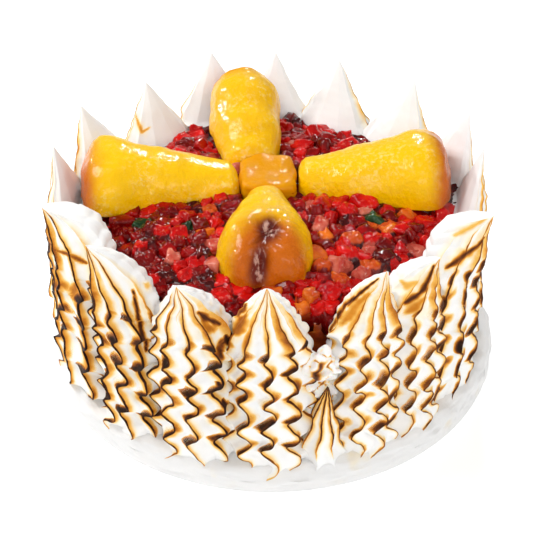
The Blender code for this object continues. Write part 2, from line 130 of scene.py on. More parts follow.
# Directions in the photo: to the right, up, and towards the camera
PHOTO_RIGHT = np.array((1.0, 0.0, 0.0))
PHOTO_UP = np.array((0.0, math.sin(CAMERA_PITCH), math.cos(CAMERA_PITCH)))
PHOTO_SIDE = np.array((0.0, -math.cos(CAMERA_PITCH), math.sin(CAMERA_PITCH)))
CAMERA_PLACE = CAMERA_TARGET + CAMERA_DISTANCE * PHOTO_SIDE

# Marks of the torch that the photo shows apart from the crests: the stroke, places along the mark, its half
# width in millimetres, and how dark it is. The places are given one by one, in pixels from the photo's
# left and top edges.
Mark = namedtuple("Mark", "stroke pixels half_width dark")
MARKS = (
    Mark(7, ((134, 112), (137, 120), (142, 132), (149, 128)), 0.9, 0.32),
    Mark(10, ((44, 239), (52, 249), (66, 254), (78, 259), (86, 263)), 1.0, 0.58),
    Mark(10, ((74, 284), (72, 296)), 3.4, 0.46),
    Mark(11, ((133, 290), (137, 310), (140, 325), (143, 340), (146, 351)), 1.0, 0.90),
    Mark(11, ((148, 283), (147, 286)), 2.1, 0.24),
    Mark(12, ((198, 313), (207, 319), (219, 324)), 1.8, 0.82),
    Mark(12, ((202, 321), (208, 328), (212, 330)), 2.7, 0.42),
    Mark(12, ((226, 336), (228, 343)), 1.9, 1.00),
    Mark(12, ((222, 339), (220, 351), (221, 358)), 2.4, 0.66),
    Mark(12, ((218, 382), (221, 388)), 1.7, 0.95),
    Mark(12, ((222, 400), (226, 408)), 1.6, 0.95),
    Mark(13, ((246, 304), (242, 309), (236, 316)), 1.6, 0.85),
    Mark(13, ((245, 316), (240, 322), (237, 332)), 2.9, 0.48),
    Mark(14, ((378, 279), (368, 287), (355, 298), (345, 306), (338, 316), (331, 331)), 1.0, 0.80),
    Mark(14, ((369, 294), (358, 304), (351, 314), (343, 323)), 2.9, 0.34),
    Mark(15, ((401, 281), (407, 286), (416, 283)), 1.9, 0.24),
    Mark(15, ((434, 266), (430, 278), (424, 289), (415, 297), (405, 303)), 1.4, 0.80),
    Mark(15, ((425, 298), (415, 308), (407, 312)), 2.6, 0.34),
    Mark(16, ((486, 237), (478, 246), (466, 254), (455, 262), (447, 268)), 1.4, 0.70),
    Mark(16, ((487, 218), (470, 228), (455, 235)), 1.6, 0.20),
)
MILLIMETRE = 0.001
# How near to a pixel's line of sight a point of the surface has to lie to be the one that it shows
SEEN_WITHIN = 0.0012
# How far in front of or behind its trail a mark keeps its full width
MARK_DEPTH = 0.006
# How far round to its inner side a stroke's marks run, and where it is less
MARK_WRAP = 1.9
SHORT_MARK_WRAPS = {13: 1.2}

# The pear halves, as in the solids
PEAR_STATIONS = (0.0, 0.12, 0.28, 0.45, 0.62, 0.76, 0.87, 0.95, 0.99)
LONG_HALF_WIDTHS = (0.0104, 0.0118, 0.0137, 0.0158, 0.0183, 0.0213, 0.0208, 0.0150, 0.0075)
LONG_HEIGHTS = (0.0106, 0.0120, 0.0139, 0.0158, 0.0178, 0.0196, 0.0188, 0.0140, 0.0075)
OVAL_HALF_WIDTHS = (0.0120, 0.0145, 0.0168, 0.0182, 0.0190, 0.0186, 0.0165, 0.0125, 0.0065)
OVAL_HEIGHTS = (0.0106, 0.0125, 0.0150, 0.0172, 0.0185, 0.0185, 0.0165, 0.0125, 0.0065)
ROUND_HALF_WIDTHS = (0.0088, 0.0096, 0.0140, 0.0174, 0.0191, 0.0187, 0.0155, 0.0110, 0.0058)
ROUND_HEIGHTS = (0.0105, 0.0125, 0.0152, 0.0178, 0.0192, 0.0190, 0.0162, 0.0118, 0.0060)
# From this share of its length on, a pear is a round end
PEAR_ROUND = 0.86
Pear = namedtuple("Pear", "name neck end lift scale half_widths heights")
PEARS = (
    Pear("pear_left", (-0.0148, 0.0126), (-0.0825, 0.0090), 0.0020, 1.0, LONG_HALF_WIDTHS, LONG_HEIGHTS),
    Pear("pear_right", (0.0112, 0.0143), (0.0768, 0.0152), 0.0020, 1.06, LONG_HALF_WIDTHS, LONG_HEIGHTS),
    Pear("pear_back", (-0.0090, 0.0262), (-0.0150, 0.0850), 0.0110, 0.88, OVAL_HALF_WIDTHS, OVAL_HEIGHTS),
    Pear("pear_front", (-0.0025, -0.0010), (-0.0030, -0.0600), 0.0, 1.0, ROUND_HALF_WIDTHS, ROUND_HEIGHTS),
)
CENTRE_LOW = (-0.0142, -0.0004)
CENTRE_HIGH = (0.0104, 0.0256)

WHITE = (0.890, 0.892, 0.886)
# How far red, green and blue light spread inside the meringue, in proportion
MERINGUE_SCATTER = (1.0, 0.95, 0.9)


# Materials

class Finish:
    """A material with one Principled shader, and short ways to add nodes to it."""

    def __init__(self, name, **sockets):
        self.material = bpy.data.materials.new(name)
        self.material.use_nodes = True
        self.tree = self.material.node_tree
        self.shader = self.tree.nodes["Principled BSDF"]
        for socket, value in sockets.items():
            self.put(self.shader.inputs[socket.replace("_", " ")], value)

    def put(self, socket, value):
        if isinstance(value, bpy.types.NodeSocket):
            self.tree.links.new(value, socket)
        elif isinstance(value, tuple) and len(value) == 3 and socket.type == "RGBA":
            socket.default_value = (*value, 1.0)
        else:
            socket.default_value = value

    def add(self, kind, **settings):
        node = self.tree.nodes.new(kind)
        for key, value in settings.items():
            setattr(node, key, value)
        return node

    def math(self, operation, a, b=0.0, c=0.0):
        node = self.add("ShaderNodeMath", operation=operation)
        for socket, value in zip(node.inputs, (a, b, c)):
            self.put(socket, value)
        return node.outputs[0]

    def times(self, a, b):
        return self.math("MULTIPLY", a, b)

    def plus(self, a, b):
        return self.math("ADD", a, b)

    def scaled(self, value, factor, offset):
        return self.math("MULTIPLY_ADD", value, factor, offset)

    def larger(self, a, b):
        return self.math("MAXIMUM", a, b)

    def smaller(self, a, b):
        return self.math("MINIMUM", a, b)

    def attribute(self, name):
        return self.add("ShaderNodeAttribute", attribute_name=name).outputs["Fac"]

    def place(self, scale=(1, 1, 1)):
        node = self.add("ShaderNodeMapping")
        self.put(node.inputs["Vector"], self.add("ShaderNodeTexCoord").outputs["Object"])
        self.put(node.inputs["Scale"], scale)
        return node.outputs[0]

    def noise(self, scale, detail=2.0, roughness=0.5, vector=None):
        node = self.add("ShaderNodeTexNoise")
        self.put(node.inputs["Vector"], vector or self.place())
        self.put(node.inputs["Scale"], scale)
        self.put(node.inputs["Detail"], detail)
        self.put(node.inputs["Roughness"], roughness)
        return node.outputs[0]

    def grain(self):
        """Meringue's grain: soft dimples, and fine ones over them."""
        return self.scaled(self.noise(260, 3), 0.7, self.times(self.noise(1500, 3), 0.3))

    def stretch(self, value, low, high, start=0.0, end=1.0):
        node = self.add("ShaderNodeMapRange", interpolation_type="SMOOTHSTEP")
        for socket, number in zip(node.inputs, (value, low, high, start, end)):
            self.put(socket, number)
        return node.outputs[0]

    def ramp(self, value, stops):
        node = self.add("ShaderNodeValToRGB")
        elements = node.color_ramp.elements
        while len(elements) < len(stops):
            elements.new(1.0)
        for element, (position, colour) in zip(elements, stops):
            element.position = position
            element.color = (*colour, 1.0)
        self.put(node.inputs[0], value)
        return node.outputs[0]

    def mix(self, share, a, b, blend="MIX"):
        node = self.add("ShaderNodeMix", data_type="RGBA", blend_type=blend)
        self.put(node.inputs["Factor"], share)
        self.put(node.inputs[6], a)
        self.put(node.inputs[7], b)
        return node.outputs[2]

    def colour(self, value):
        self.put(self.shader.inputs["Base Color"], value)

    def bump(self, height, strength, distance, socket="Normal"):
        node = self.add("ShaderNodeBump")
        self.put(node.inputs["Height"], height)
        self.put(node.inputs["Strength"], strength)
        self.put(node.inputs["Distance"], distance)
        self.put(self.shader.inputs[socket], node.outputs[0])


BURN_STOPS = (
    (0.0, WHITE),
    (0.07, (0.92, 0.83, 0.64)),
    (0.18, (0.88, 0.53, 0.12)),
    (0.33, (0.66, 0.25, 0.022)),
    (0.50, (0.32, 0.090, 0.012)),
    (0.70, (0.085, 0.024, 0.006)),
    (1.0, (0.020, 0.007, 0.003)),
)
# How soon a patch shows where the attribute that sizes it rises from 0, and the least half width of a patch
PATCH_FADE = 6.0
LEAST_PATCH = 0.0002


def lens(made, across, above, half_width, half_heights, softness):
    """1 at a point on a crest line, falling to 0 at the edge of a lens. Its half heights are up and down."""
    sideways = made.math("DIVIDE", across, half_width)
    up = made.math("DIVIDE", above, half_heights[0])
    down = made.math("DIVIDE", above, -half_heights[1])
    upright = made.larger(up, down)
    away = made.plus(made.times(sideways, sideways), made.times(upright, upright))
    field = made.math("DIVIDE", made.math("SUBTRACT", 1.0, made.math("SQRT", away)), softness)
    return made.smaller(made.larger(field, 0.0), 1.0)


def left_patches(made, across, chance):
    """The near-black pocket above each left bend, on the left of the crest line."""
    share = made.math("SUBTRACT", 1.0, made.math("FRACT", made.attribute("cycle")))
    wobble = made.scaled(made.noise(230, 3), 0.0020, -0.0031)
    above = made.scaled(share, made.attribute("pitch"), wobble)
    half_width = made.times(made.scaled(chance, 0.0044, 0.0016), made.attribute("left"))
    field = lens(made, across, above, made.larger(half_width, LEAST_PATCH), (0.0042, 0.0024), 0.62)
    dark = made.times(made.scaled(chance, 0.40, 0.76), made.attribute("deep"))
    shown = made.smaller(made.times(made.attribute("left"), PATCH_FADE), made.math("LESS_THAN", across, 0.0))
    return made.times(made.times(field, dark), shown)


def right_patches(made, across, chance):
    """The orange-brown patch outside each right bend, on the right of the crest line."""
    cycle = made.attribute("cycle_right")
    wobble = made.scaled(made.noise(210, 3), 0.0022, -0.0014)
    turned = made.math("SUBTRACT", made.math("ROUND", cycle), cycle)
    above = made.scaled(turned, made.attribute("pitch"), wobble)
    half_width = made.times(made.scaled(chance, -0.0030, 0.0062), made.attribute("right"))
    field = lens(made, across, above, made.larger(half_width, LEAST_PATCH), (0.0042, 0.0034), 0.95)
    dark = made.times(made.scaled(chance, -0.25, 0.70), made.attribute("deep"))
    on_right = made.math("GREATER_THAN", across, 0.0)
    shown = made.smaller(made.times(made.attribute("right"), PATCH_FADE), on_right)
    return made.times(made.times(field, dark), shown)


def meringue_finish():
    """White meringue. Each crest has a scorched line, and patches that end sharply at the crest."""
    made = Finish("torched_meringue", Roughness=0.55, Specular_IOR_Level=0.10, Subsurface_Weight=0.15,
                  Subsurface_Scale=0.002, Subsurface_Radius=MERINGUE_SCATTER)
    crest = made.attribute("crest")
    ridge = made.math("ROUND", crest)
    wobble = made.scaled(made.noise(260, 3), 0.0007, -0.00035)
    across = made.scaled(made.math("SUBTRACT", crest, ridge), made.attribute("gap"), wobble)
    cell = made.add("ShaderNodeCombineXYZ")
    made.put(cell.inputs[0], ridge)
    made.put(cell.inputs[1], made.math("FLOOR", made.attribute("cycle")))
    made.put(cell.inputs[2], made.attribute("number"))
    chance = made.add("ShaderNodeTexWhiteNoise", noise_dimensions="3D")
    made.put(chance.inputs["Vector"], cell.outputs[0])
    chance = chance.outputs["Value"]
    left = left_patches(made, across, chance)
    right = right_patches(made, across, chance)
    on_right = made.math("GREATER_THAN", across, 0.0)
    band_right, band_left = made.attribute("band_right"), made.attribute("band_left")
    band = made.scaled(on_right, made.math("SUBTRACT", band_right, band_left), band_left)
    patch = made.larger(made.larger(left, right), band)
    patchy = made.stretch(made.noise(170, 4, 0.65), 0.25, 0.75, 0.66, 1.18)
    patch = made.times(patch, patchy)
    even = made.scaled(patchy, 0.35, 0.65)
    patch = made.larger(patch, made.times(made.attribute("scorch"), even))
    thin = made.math("DIVIDE", across, made.attribute("thick"))
    squared = made.times(thin, thin)
    line = made.math("EXPONENT", made.times(made.times(squared, squared), -1.0))
    halo = made.times(made.math("EXPONENT", made.times(squared, -0.085)), 0.29)
    uneven = made.stretch(made.noise(110, 3), 0.25, 0.75, 0.8, 1.1)
    line = made.times(made.larger(line, halo), made.times(uneven, made.attribute("line")))
    burn = made.larger(patch, line)
    made.colour(made.ramp(burn, BURN_STOPS))
    made.bump(made.grain(), 0.35, 0.0006)
    return made.material


def plain_meringue_finish():
    """The foot's meringue: white darkened with painted shade, with a faint toasted tint in places."""
    made = Finish("meringue_plain", Roughness=0.5, Subsurface_Weight=0.2, Subsurface_Scale=0.003,
                  Subsurface_Radius=MERINGUE_SCATTER)
    tint = made.times(made.stretch(made.noise(55, 3), 0.56, 0.78), made.attribute("tint"))
    # The white is multiplied by about 0.88, so the foot is darker than the strokes' meringue: painted shade.
    made.colour(made.mix(1.0, made.ramp(tint, BURN_STOPS), (0.88, 0.875, 0.875), "MULTIPLY"))
    made.bump(made.grain(), 0.4, 0.0007)
    return made.material


def moist_finish(name, **sockets):
    """A skin with little gloss of its own under a clear coat, and some light spread inside."""
    return Finish(name, Specular_IOR_Level=0.05, Subsurface_Weight=0.05, **sockets)


JELLY_COAT = {"Coat_Weight": 0.9, "Coat_Roughness": 0.03, "Coat_IOR": 1.28, "Subsurface_Scale": 0.002}


def glazed_finish(name, deep, bright, pale):
    """Candied fruit under jelly: an uneven colour, and a clear wet coat."""
    made = moist_finish(name, Roughness=0.25, Subsurface_Radius=(1.0, 0.2, 0.1), **JELLY_COAT)
    body = made.mix(made.stretch(made.noise(130, 3), 0.35, 0.68), deep, bright)
    fleck = made.stretch(made.noise(420, 4, 0.7), 0.56, 0.75, 0.0, 0.6)
    made.colour(made.mix(fleck, body, pale))
    made.bump(made.noise(420, 3), 0.5, 0.0006)
    made.bump(made.noise(240, 3, 0.5), 0.5, 0.0009, "Coat Normal")
    return made.material


def pear_finish(name, base, pale, brown, coat, relief):
    """Poached pear: fine pale fibres, browner where the brown attribute rises, a dark calyx hollow and a clear
    coat.
    """
    made = moist_finish(name, Roughness=0.35, Specular_Tint=(1.0, 0.75, 0.25), Coat_Weight=coat,
                        Coat_Roughness=0.05, Coat_IOR=1.4, Subsurface_Scale=0.003,
                        Subsurface_Radius=(1.0, 0.45, 0.05))
    fibres = made.noise(470, 4, 0.7)
    fleck = made.stretch(fibres, 0.48, 0.66, 0.0, 0.75)
    broad = made.stretch(made.noise(60, 2), 0.35, 0.7)
    body = made.mix(made.times(fleck, broad), base, pale)
    shade = made.plus(made.attribute("brown"), made.scaled(made.noise(90, 3), 0.3, -0.15))
    shade = made.stretch(shade, 0.08, 0.95)
    body = made.mix(shade, body, brown)
    dark = made.stretch(made.attribute("calyx"), 0.20, 0.85)
    deepest = made.stretch(made.attribute("calyx"), 0.55, 0.95)
    streak = made.noise(1, 4, 0.65, made.place((420, 150, 150)))
    streak = made.times(made.stretch(streak, 0.50, 0.62), deepest)
    hollow = made.mix(streak, (0.14, 0.010, 0.004), (0.62, 0.36, 0.28))
    made.colour(made.mix(dark, body, hollow))
    made.bump(made.plus(fibres, made.times(made.noise(110, 2), 0.8)), relief, 0.0009)
    made.bump(made.noise(210, 4, 0.6), 0.5, 0.0009, "Coat Normal")
    return made.material


def jelly_finish():
    """Deep red jelly, with the colours of the dice showing through where it covers them."""
    made = moist_finish("red_jelly", Roughness=0.15, Subsurface_Radius=(1.0, 0.1, 0.05), **JELLY_COAT)
    body = made.mix(made.stretch(made.noise(110, 3), 0.35, 0.7), (0.03, 0.0, 0.0), (0.20, 0.001, 0.001))
    seen = made.add("ShaderNodeAttribute", attribute_name="seen").outputs["Color"]
    fleck = made.stretch(made.noise(420, 4, 0.7), 0.56, 0.75, 0.0, 0.35)
    seen = made.mix(fleck, seen, (0.80, 0.22, 0.14))
    edge = made.plus(made.attribute("sure"), made.scaled(made.noise(350, 3), 0.5, -0.25))
    made.colour(made.mix(made.stretch(edge, 0.30, 0.75), body, seen))
    made.bump(made.noise(320, 3), 0.6, 0.0012)
    made.bump(made.noise(240, 3, 0.5), 0.6, 0.0010, "Coat Normal")
    return made.material


def core_finish():
    """The cake's side where it shows: orange-brown, moist, with paler and darker bands."""
    made = Finish("fruit_side", Roughness=0.3, Coat_Weight=0.6, Coat_Roughness=0.1)
    bands = made.noise(60, 4, 0.6, made.place((1, 1, 2.2)))
    made.colour(made.ramp(bands, ((0.25, (0.10, 0.004, 0.002)), (0.45, (0.36, 0.035, 0.004)),
                                  (0.6, (0.62, 0.11, 0.006)), (0.75, (0.80, 0.30, 0.03)))))
    made.bump(made.noise(220, 3), 0.5, 0.001)
    return made.material


def floor_finish():
    """A plain, nearly white floor that glows a little, as the photo's ground does."""
    made = Finish("studio_floor", Roughness=0.6, Base_Color=(0.90, 0.90, 0.90),
                  Emission_Color=(1.0, 1.0, 1.0), Emission_Strength=0.31)
    return made.material


# Shapes

def clamp(values):
    """The values, held between 0 and 1."""
    return np.clip(values, 0, 1)


def ripple(points, length, seed):
    """Smooth noise from about -1 to 1 at each point, with features about this long."""
    chance = np.random.default_rng(seed)
    total = np.zeros(points.shape[:-1])
    for _ in range(7):
        direction = chance.normal(size=3)
        direction *= 2 * np.pi / length * chance.uniform(0.6, 1.35) / np.linalg.norm(direction)
        total += np.sin(points @ direction + chance.uniform(0, 2 * np.pi))
    return total / 2.6


def add_object(name, data):
    """An object with this mesh, lamp or camera, in the scene."""
    made = bpy.data.objects.new(name, data)
    bpy.context.scene.collection.objects.link(made)
    return made


def piece(name, points, faces, finish, slot, *nodes):
    """An object that rides the cake and stands for these CAD nodes."""
    mesh = bpy.data.meshes.new(name)
    mesh.from_pydata(np.asarray(points).reshape(-1, 3).tolist(), [], faces)
    mesh.validate()
    mesh.shade_smooth()
    mesh.materials.append(finish)
    made = add_object(name, mesh)
    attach(made, "root")
    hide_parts(*nodes)
    return made


def give(made, name, values, domain="POINT"):
    """Adds an attribute that the material reads."""
    layer = made.data.attributes.new(name, "FLOAT", domain)
    layer.data.foreach_set("value", np.asarray(values, dtype=np.float32).ravel())


def give_grids(made, grids):
    """Adds attributes for a skin of tube_faces. The tip gets the mean of the last ring."""
    for name, grid in grids.items():
        give(made, name, np.append(grid.ravel(), grid[-1].mean()))


def skin(name, points, tip, finish, slot, *nodes):
    """A piece through rings of points, closed by a tip and by a flat cap at the start."""
    faces = tube_faces(*points.shape[:2])
    return piece(name, np.vstack([points.reshape(-1, 3), tip]), faces, finish, slot, *nodes)


def around(columns):
    """The directions of this many columns, evenly spread round a full turn."""
    return np.linspace(0, 2 * np.pi, columns, endpoint=False)


def ring_points(radius, turn, z):
    """Points at these radii, directions and heights."""
    return np.stack(np.broadcast_arrays(radius * np.cos(turn), radius * np.sin(turn), z), axis=-1)


def turned(x, y, angle):
    """x and y, turned anticlockwise in plan."""
    return x * math.cos(angle) - y * math.sin(angle), x * math.sin(angle) + y * math.cos(angle)


def soft_cube(cuts, power):
    """A cube from -1 to 1 with soft corners, as points and faces. More power makes sharper corners."""
    shape = bmesh.new()
    bmesh.ops.create_cube(shape, size=2)
    bmesh.ops.subdivide_edges(shape, edges=shape.edges[:], cuts=cuts, use_grid_fill=True)
    points = np.array([vert.co[:] for vert in shape.verts])
    faces = [[vert.index for vert in face.verts] for face in shape.faces]
    shape.free()
    return points / (np.abs(points) ** power).sum(axis=1, keepdims=True) ** (1 / power), faces


def ring_faces(low, high, columns):
    """Faces between two rings of points, given the number of the first point of each."""
    pairs = [(column, (column + 1) % columns) for column in range(columns)]
    return [(low + column, low + beside, high + beside, high + column) for column, beside in pairs]


def tube_faces(rows, columns):
    """Faces of a skin through rings of points, with a tip point after them and a flat cap at the start."""
    faces = []
    for row in range(rows - 1):
        faces += ring_faces(row * columns, (row + 1) * columns, columns)
    last = (rows - 1) * columns
    tip = rows * columns
    for column in range(columns):
        faces.append((last + column, last + (column + 1) % columns, tip))
    faces.append(tuple(reversed(range(columns))))
    return faces


def corner_values(rows, values, period):
    """Values per column, laid out on the corners of tube_faces so that they run on past the seam."""
    ahead = np.append(values[1:], values[0] + period)
    quads = np.stack([values, ahead, ahead, values], axis=1)
    fan = np.stack([values, ahead, (values + ahead) / 2], axis=1)
    return np.concatenate([np.tile(quads, (rows - 1, 1)).ravel(), fan.ravel(), values[::-1]])


# Meringue

def wave_cycle(stroke, heights):
    """How many zigzags lie above each height. It is a whole number at each bend to the left."""
    drop = stroke.tip_height - heights - stroke.first_bend
    grown = np.log1p(PITCH_GROWTH * np.maximum(drop, 0) / FIRST_PITCH) / PITCH_GROWTH
    return np.where(drop > 0, grown, drop / FIRST_PITCH)


def wave_pitch(cycle):
    """The height of one zigzag, which grows down the stroke."""
    return FIRST_PITCH * np.exp(PITCH_GROWTH * np.maximum(cycle, 0))


def wave_reach(cycle):
    """How far the zigzag goes to each side."""
    return np.interp(cycle, (-1.3, -0.6, 0.0, 2.0, 4.0, 5.5), (0.0, 0.0003, 0.0012, 0.0018, 0.0025, 0.0031))


def wave(stroke, cycle):
    """The zigzag's shift sideways: long to the right and short back, or even loops for skew over 0."""
    if stroke.skew > 0:
        phase = 2 * np.pi * (cycle - 0.25)
        return 1.15 * wave_reach(cycle) * np.sin(phase + 0.35 * np.sin(phase + 2.0))
    t = cycle % 1.0
    there = -np.cos(np.pi * clamp(t / LONG_RUN) ** 1.15)
    back = np.cos(np.pi * clamp((t - LONG_RUN) / (1 - LONG_RUN)) ** 1.1)
    return wave_reach(cycle) * np.where(t < LONG_RUN, there, back)


def stroke_shape(number, stroke, heights, turns):
    """World points of a stroke, with the zigzag's cycle and sideways shift at each."""
    z = heights[:, None]
    turn = turns[None, :]
    middle = math.radians((stroke.start + stroke.end) / 2)
    to_tip = math.radians(stroke.tip) - middle
    outer_radii = [radius * stroke.wall for radius in WALL_OUTER_RADII]
    outer = np.interp(z, (*WALL_HEIGHTS, stroke.tip_height), (*outer_radii, stroke.tip_radius))
    inner_wall = np.interp(z, (FRUIT_TOP - 0.0035, FRUIT_TOP), (INNER_RADIUS, stroke.fruit_radius))
    up_slope = clamp((z - FRUIT_TOP) / (stroke.tip_height - FRUIT_TOP)) ** stroke.bulge
    inner = inner_wall + (stroke.tip_radius - stroke.fruit_radius) * up_slope
    shoulder = stroke.tip_height - SHOULDER_DROP
    above = clamp((z - shoulder) / SHOULDER_DROP)
    sector = math.radians(stroke.end - stroke.start)
    facing_in = 0.5 - 0.5 * np.cos(turn)
    front = stroke.bulge > 1
    power_outside = 0.92 if front else 0.98
    power_inside = 0.62 / stroke.bulge**0.45 if front else 0.90
    power = power_outside + (power_inside - power_outside) * facing_in
    half_width = (sector / 2 * (outer + inner) / 2 + 0.0030) * (1 - above) ** power * (1 - 0.28 * above**2)
    lean = clamp((z - LEAN_START) / (stroke.tip_height - LEAN_START)) ** 1.6
    late = z + 0.0021 * np.sin(turn * 1.5 + number * 1.7) + 0.0010 * np.sin(turn * 4 + z * 150 + number)
    cycle = wave_cycle(stroke, late)
    shift = wave(stroke, cycle) * clamp(2.2 - 2.2 * facing_in)
    place = (turns - math.radians(stroke.ridge_turn)) * RIDGES / (2 * np.pi)
    off_crest = 2 * np.abs(place - np.round(place))
    facing_out = 0.5 + 0.5 * np.cos(turns)
    varied = 1 + 0.16 * np.sin(np.round(place) * 2.4 + number)
    depth = ((0.06 if front else 0.038) + 0.125 * facing_out) * varied
    star = 1 - (depth * np.sin(np.pi / 2 * off_crest**0.8))[None, :]
    step = (z / 0.0050 + 0.35 * np.sin(turn * 3 + number) + 0.37 * number) % 1.0
    ruffled = 0.0018 if front else 0.0
    ruffle = ruffled * (step**0.6 * (1 - step**6) - 0.45) * clamp(facing_in * 2.2 - 0.75)
    ruffle = ruffle * clamp(above * 5) * clamp((stroke.tip_height - z) / 0.008)
    swell = 1 + ruffle / np.maximum((outer - inner) / 2, 0.003)
    x = (outer + inner) / 2 + (outer - inner) / 2 * star * swell * np.cos(turn)
    y = stroke.tip_radius * math.sin(to_tip) * lean + shift + half_width * star * swell * np.sin(turn)
    points = np.stack([*turned(x, y, middle), np.broadcast_to(z, x.shape)], axis=-1)
    return points, cycle + 0 * x, shift + 0 * x


def roughen(points, number, strength):
    """Soft unevenness, less towards the tip. Points are kept clear of the core and inside the cake's size."""
    points = np.array(points)
    for axis in range(3):
        seed = 40 * number + axis
        soft = 0.0006 * ripple(points, 0.016, seed) + 0.00022 * ripple(points, 0.005, seed + 9)
        points[..., axis] += soft * strength
    reach = np.linalg.norm(points[..., :2], axis=-1)
    points[..., :2] *= (np.clip(reach, INNER_RADIUS, FOOT_RADIUS) / reach)[..., None]
    points[..., 2] = np.minimum(points[..., 2], TALLEST)
    return points


def stroke_burn(number, stroke, crest, gap, z, turns):
    """The size of the patches beside the crests, and how dark the bands under the tip and the lines are."""
    drop = stroke.tip_height - z
    low = clamp((z - 0.008) / 0.016)
    out = clamp(0.40 + 0.95 * np.cos(turns))[None, :]
    bent = clamp((drop - stroke.first_bend + 0.006) / 0.004)
    straight = clamp((stroke.first_bend + 0.002 - drop) / 0.010) * clamp(drop / 0.020)
    beside = np.abs(crest - np.round(crest)) * gap
    varied = 1 + 0.3 * np.sin(np.round(crest) * 2.2 + number)
    band = 0.60 * clamp(1 - beside / (0.0034 * varied)) ** 0.8 * straight * varied * low * out
    dark = np.interp(drop, (0.0, 0.006, 0.022, 0.032), (0.40, 0.55, 0.80, 0.95)) * stroke.line
    away = np.abs(np.remainder(turns + np.pi, 2 * np.pi) - np.pi)[None, :]
    starts = np.interp(away, (0.75, 1.2, 1.8), (-0.004, 0.008, 0.016))
    shown = clamp(0.25 + 1.2 * low) * clamp(0.25 + 1.5 * np.cos(away))
    shown = shown * clamp((drop - starts) / 0.006)
    return {"left": stroke.left * low * out * bent, "right": stroke.right * low * out * bent,
            "band_left": max(-stroke.top, 0) * band, "band_right": max(stroke.top, 0) * band,
            "line": dark * shown}


def surface_seen(points, pixel):
    """The point of the surface that the photo shows at this pixel."""
    right, down = pixel[0] - PHOTO_SIZE[0] / 2, pixel[1] - PHOTO_SIZE[1] / 2
    ray = right * PHOTO_RIGHT - down * PHOTO_UP - FOCAL_PIXELS * PHOTO_SIDE
    ray = ray / np.linalg.norm(ray)
    offset = points - CAMERA_PLACE
    depth = offset @ ray
    aside = np.linalg.norm(offset - depth[..., None] * ray, axis=-1)
    return CAMERA_PLACE + ray * depth[aside < max(SEEN_WITHIN, aside.min() * 1.01)].min()


def mark_distance(points, trail, half_width):
    """How far each point lies from the middle of a mark, in half widths. A mark is thin at its start."""
    near = np.full(points.shape[:-1], np.inf)
    for index, (start, end) in enumerate(zip(trail, trail[1:])):
        run = end - start - ((end - start) @ PHOTO_SIDE) * PHOTO_SIDE
        share = clamp((points - start) @ run / (run @ run))
        offset = points - start - share[..., None] * (end - start)
        depth = offset @ PHOTO_SIDE
        offset = offset - depth[..., None] * PHOTO_SIDE
        behind = np.maximum(np.abs(depth) - MARK_DEPTH, 0)
        away = np.hypot(np.linalg.norm(offset, axis=-1), 0.6 * behind)
        along = (index + share) / (len(trail) - 1)
        taper = np.interp(along, (0, 0.45, 0.8, 1.0), (0.35, 1.0, 1.0, 0.6))
        near = np.minimum(near, away / (half_width * taper))
    return near


def scorch_marks(number, points):
    """How dark the marks of this stroke are at each point. A mark has ragged edges and an orange halo."""
    dark = np.zeros(points.shape[:-1])
    ragged = 1 + 0.20 * ripple(points, 0.0070, number + 200) + 0.22 * ripple(points, 0.0032, number + 230)
    for mark in MARKS:
        if mark.stroke == number:
            trail = [surface_seen(points, pixel) for pixel in mark.pixels]
            near = mark_distance(points, trail, MILLIMETRE * mark.half_width) / ragged
            shade = np.maximum(clamp(1.25 - near), 0.32 * clamp(1 - near / 2.8))
            dark = np.maximum(dark, mark.dark * shade)
    return dark


def crest_columns(ridges):
    """The columns' places round a stroke, counted in ridges."""
    return np.array([ridge + offset for ridge in range(ridges) for offset in COLUMN_OFFSETS])


def line_thickness(stroke, slope, z):
    """Half the width of a crest line: wider where the zigzag slopes, and thin at the tip and at the foot."""
    drop = stroke.tip_height - z
    thick = 0.00044 * stroke.line * np.sqrt(1 + 0.5 * slope**2)
    thick = thick * np.interp(drop, (0, 0.020, 0.030), (0.45, 0.9, 1.15))
    return thick * np.interp(z, (0.012, 0.030), (0.6, 1.0))


def build_stroke(number, stroke, finish):
    """One tall stroke, with all that its scorching needs to know."""
    below = stroke.tip_height - SHOULDER_DROP
    up = np.linspace(0, 1, SHOULDER_ROWS)
    heights = np.concatenate([np.linspace(STROKE_START, below, WALL_ROWS, endpoint=False),
                              below + SHOULDER_DROP * (1 - (1 - up * LAST_RING) ** 1.35)])
    step = 2 * math.pi / RIDGES
    first = math.radians(stroke.ridge_turn) - RIDGES // 2 * step
    crest = crest_columns(RIDGES)
    turns = first + crest * step
    points, cycle, shift = stroke_shape(number, stroke, heights, turns)
    strength = np.clip((stroke.tip_height - heights) / 0.012, 0.12, 1)[:, None]
    points = roughen(points, number, strength * (0.62 + 0.38 * np.cos(turns)))
    gap = ridge_gaps(points)
    values = stroke_burn(number, stroke, crest, gap, points[..., 2], turns)
    slope = np.gradient(shift, axis=0) / np.gradient(heights)[:, None]
    right_bend = 0.5 if stroke.skew > 0 else LONG_RUN
    angle = math.radians(stroke.tip)
    toward_photo = -np.sign(math.sin(angle)) * np.cos(turns)
    wrap = SHORT_MARK_WRAPS.get(number, MARK_WRAP)
    scorch = scorch_marks(number, points) * clamp(wrap + 2.2 * toward_photo)
    values.update(scorch=scorch, gap=gap, cycle=cycle, cycle_right=cycle - right_bend,
                  pitch=wave_pitch(cycle), thick=line_thickness(stroke, slope, points[..., 2]),
                  number=number + 0 * gap, deep=float(np.clip(1.6 * stroke.line - 0.5, 0.4, 1.0)) + 0 * gap)
    tip = (*turned(stroke.tip_radius, 0, angle), min(stroke.tip_height, TALLEST))
    made = skin(f"stroke_{number:02d}", points, tip, finish, "meringue", f"petal_{number:02d}")
    give(made, "crest", corner_values(len(heights), crest, RIDGES), "CORNER")
    give_grids(made, values)


